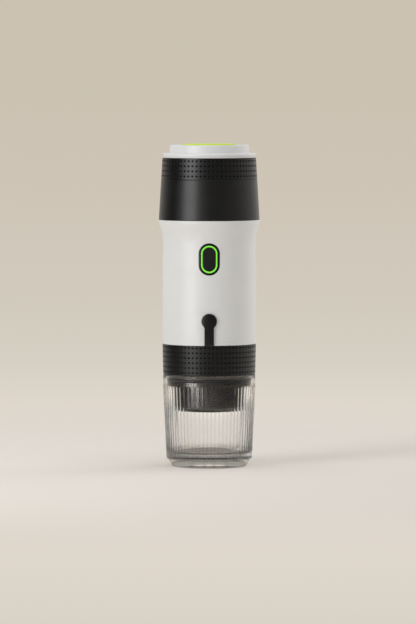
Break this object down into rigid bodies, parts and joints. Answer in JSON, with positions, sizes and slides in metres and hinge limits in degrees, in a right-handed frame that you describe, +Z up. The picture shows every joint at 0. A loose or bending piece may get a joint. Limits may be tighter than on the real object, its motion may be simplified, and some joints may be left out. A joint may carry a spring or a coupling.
{
  "type": "portable espresso maker",
  "caption": "Slim battery espresso maker standing on its own clear fluted tumbler, with a screw lid over the water tank, a lit power button and a screw-in coffee holder.",
  "frame": {"origin": "centre of the tumbler's foot, on the surface that the object stands on", "axes": "+Z up along the object's axis, -Y out of the front with the button, +X to the right seen from the front"},
  "size_m": [0.072, 0.072, 0.23],
  "materials": {
    "clear_tumbler": "clear moulded copolyester",
    "dark_neck": "moulded glass filled nylon",
    "black_silicone": "matt silicone with small dimples",
    "black_seal": "matt silicone",
    "grey_seal": "matt silicone",
    "dark_holder": "dark polished coating on steel",
    "basket_steel": "pressed stainless steel",
    "brew_block": "moulded high temperature plastic",
    "white_shell": "satin moulded ABS",
    "black_gloss": "gloss moulded plastic",
    "green_light": "lit translucent light guide",
    "button_black": "satin moulded plastic",
    "cradle_grey": "moulded plastic",
    "cell_wrap": "shrink sleeve over a steel can",
    "nickel": "nickel strip",
    "screw_steel": "zinc plated steel",
    "yoke_steel": "zinc plated steel",
    "bobbin_white": "moulded nylon",
    "copper_wire": "enamelled copper winding",
    "pump_plastic": "moulded plastic",
    "plunger_steel": "ground stainless steel",
    "spring_steel": "drawn spring wire",
    "hose_silicone": "translucent silicone hose",
    "clamp_steel": "stainless spring clamp",
    "board_green": "solder mask on glass epoxy",
    "chip_black": "moulded epoxy packages",
    "socket_steel": "stainless socket sleeve",
    "led_white": "lamp package",
    "tank_black": "satin moulded plastic",
    "liner_steel": "deep drawn stainless steel",
    "heater_aluminium": "cast plate",
    "sensor_black": "phenolic moulding",
    "fitting_brass": "turned brass",
    "lid_white": "satin moulded ABS",
    "lime_plastic": "satin moulded plastic"
  },
  "bodies": {
    "cup": {"cup": "clear_tumbler"},
    "machine": {"neck_ring": "dark_neck", "cup_seal": "black_seal", "lower_grip": "black_silicone", "brew_head": "brew_block", "shower_screen": "basket_steel", "screen_screws": "screw_steel", "outlet_valve": "grey_seal", "brew_head_screws": "screw_steel", "body_shell": "white_shell", "button_bezel": "black_gloss", "light_ring": "green_light", "lower_cradle": "cradle_grey", "upper_cradle": "cradle_grey", "battery_cells": "cell_wrap", "cell_straps": "nickel", "chassis_screws": "screw_steel", "tank_screws": "screw_steel", "pump_frame": "yoke_steel", "coil_bobbin": "bobbin_white", "pump_coil": "copper_wire", "pump_tube": "pump_plastic", "pump_inlet_cap": "pump_plastic", "pump_mounts": "black_seal", "return_spring": "spring_steel", "buffer_spring": "spring_steel", "inlet_hose": "hose_silicone", "outlet_hose": "hose_silicone", "hose_clamps": "clamp_steel", "main_board": "board_green", "board_chips": "chip_black", "charging_socket": "socket_steel", "button_switch": "chip_black", "leds": "led_white", "tank_shell": "tank_black", "tank_grip": "black_silicone", "tank_liner": "liner_steel", "tank_seal": "grey_seal", "tank_mouth": "dark_neck", "heating_plate": "heater_aluminium", "thermal_cutout": "sensor_black", "thermistor": "sensor_black", "tank_outlet": "fitting_brass", "outlet_nut": "fitting_brass", "outlet_filter": "basket_steel"},
    "lid_riser": {"lid_gasket": "grey_seal"},
    "lid": {"lid_cap": "lid_white", "lid_inlay": "lime_plastic", "lid_plug": "dark_neck", "lid_vent": "grey_seal"},
    "holder_carriage": {"holder_gasket": "grey_seal"},
    "holder": {"coffee_holder": "dark_holder", "filter_basket": "basket_steel", "holder_spout": "dark_neck"},
    "button": {"button_cap": "button_black", "switch_plunger": "chip_black"},
    "port_flap": {"port_flap": "black_silicone"},
    "plunger": {"pump_plunger": "plunger_steel"}
  },
  "joints": [
    {"name": "machine_lift", "type": "slide", "parent": "cup", "child": "machine", "axis": [0, 0, 1], "range_m": [0, 0.04]},
    {"name": "lid_rise", "type": "slide", "parent": "machine", "child": "lid_riser", "axis": [0, 0, 1], "range_m": [0, 0.009]},
    {"name": "lid_turn", "type": "hinge", "parent": "lid_riser", "child": "lid", "pos_m": [0, 0, 0.2204], "axis": [0, 0, 1], "range_deg": [0, 270]},
    {"name": "holder_drop", "type": "slide", "parent": "machine", "child": "holder_carriage", "axis": [0, 0, -1], "range_m": [0, 0.008]},
    {"name": "holder_turn", "type": "hinge", "parent": "holder_carriage", "child": "holder", "pos_m": [0, 0, 0.06], "axis": [0, 0, -1], "range_deg": [0, 180]},
    {"name": "button_press", "type": "slide", "parent": "machine", "child": "button", "axis": [0, 1, 0], "range_m": [0, 0.0006], "stiffness_N_per_m": 1500},
    {"name": "port_flap_bend", "type": "hinge", "parent": "machine", "child": "port_flap", "pos_m": [0, -0.03435, 0.0884], "axis": [1, 0, 0], "range_deg": [0, 120]},
    {"name": "pump_stroke", "type": "slide", "parent": "machine", "child": "plunger", "axis": [0, 0, 1], "range_m": [0, 0.003], "stiffness_N_per_m": 1200, "deforming": ["return_spring", "buffer_spring"]}
  ],
  "couplings": [
    {"joint": "lid_rise", "follows": "lid_turn", "m_per_rad": 0.0019099},
    {"joint": "holder_drop", "follows": "holder_turn", "m_per_rad": 0.0025465}
  ]
}
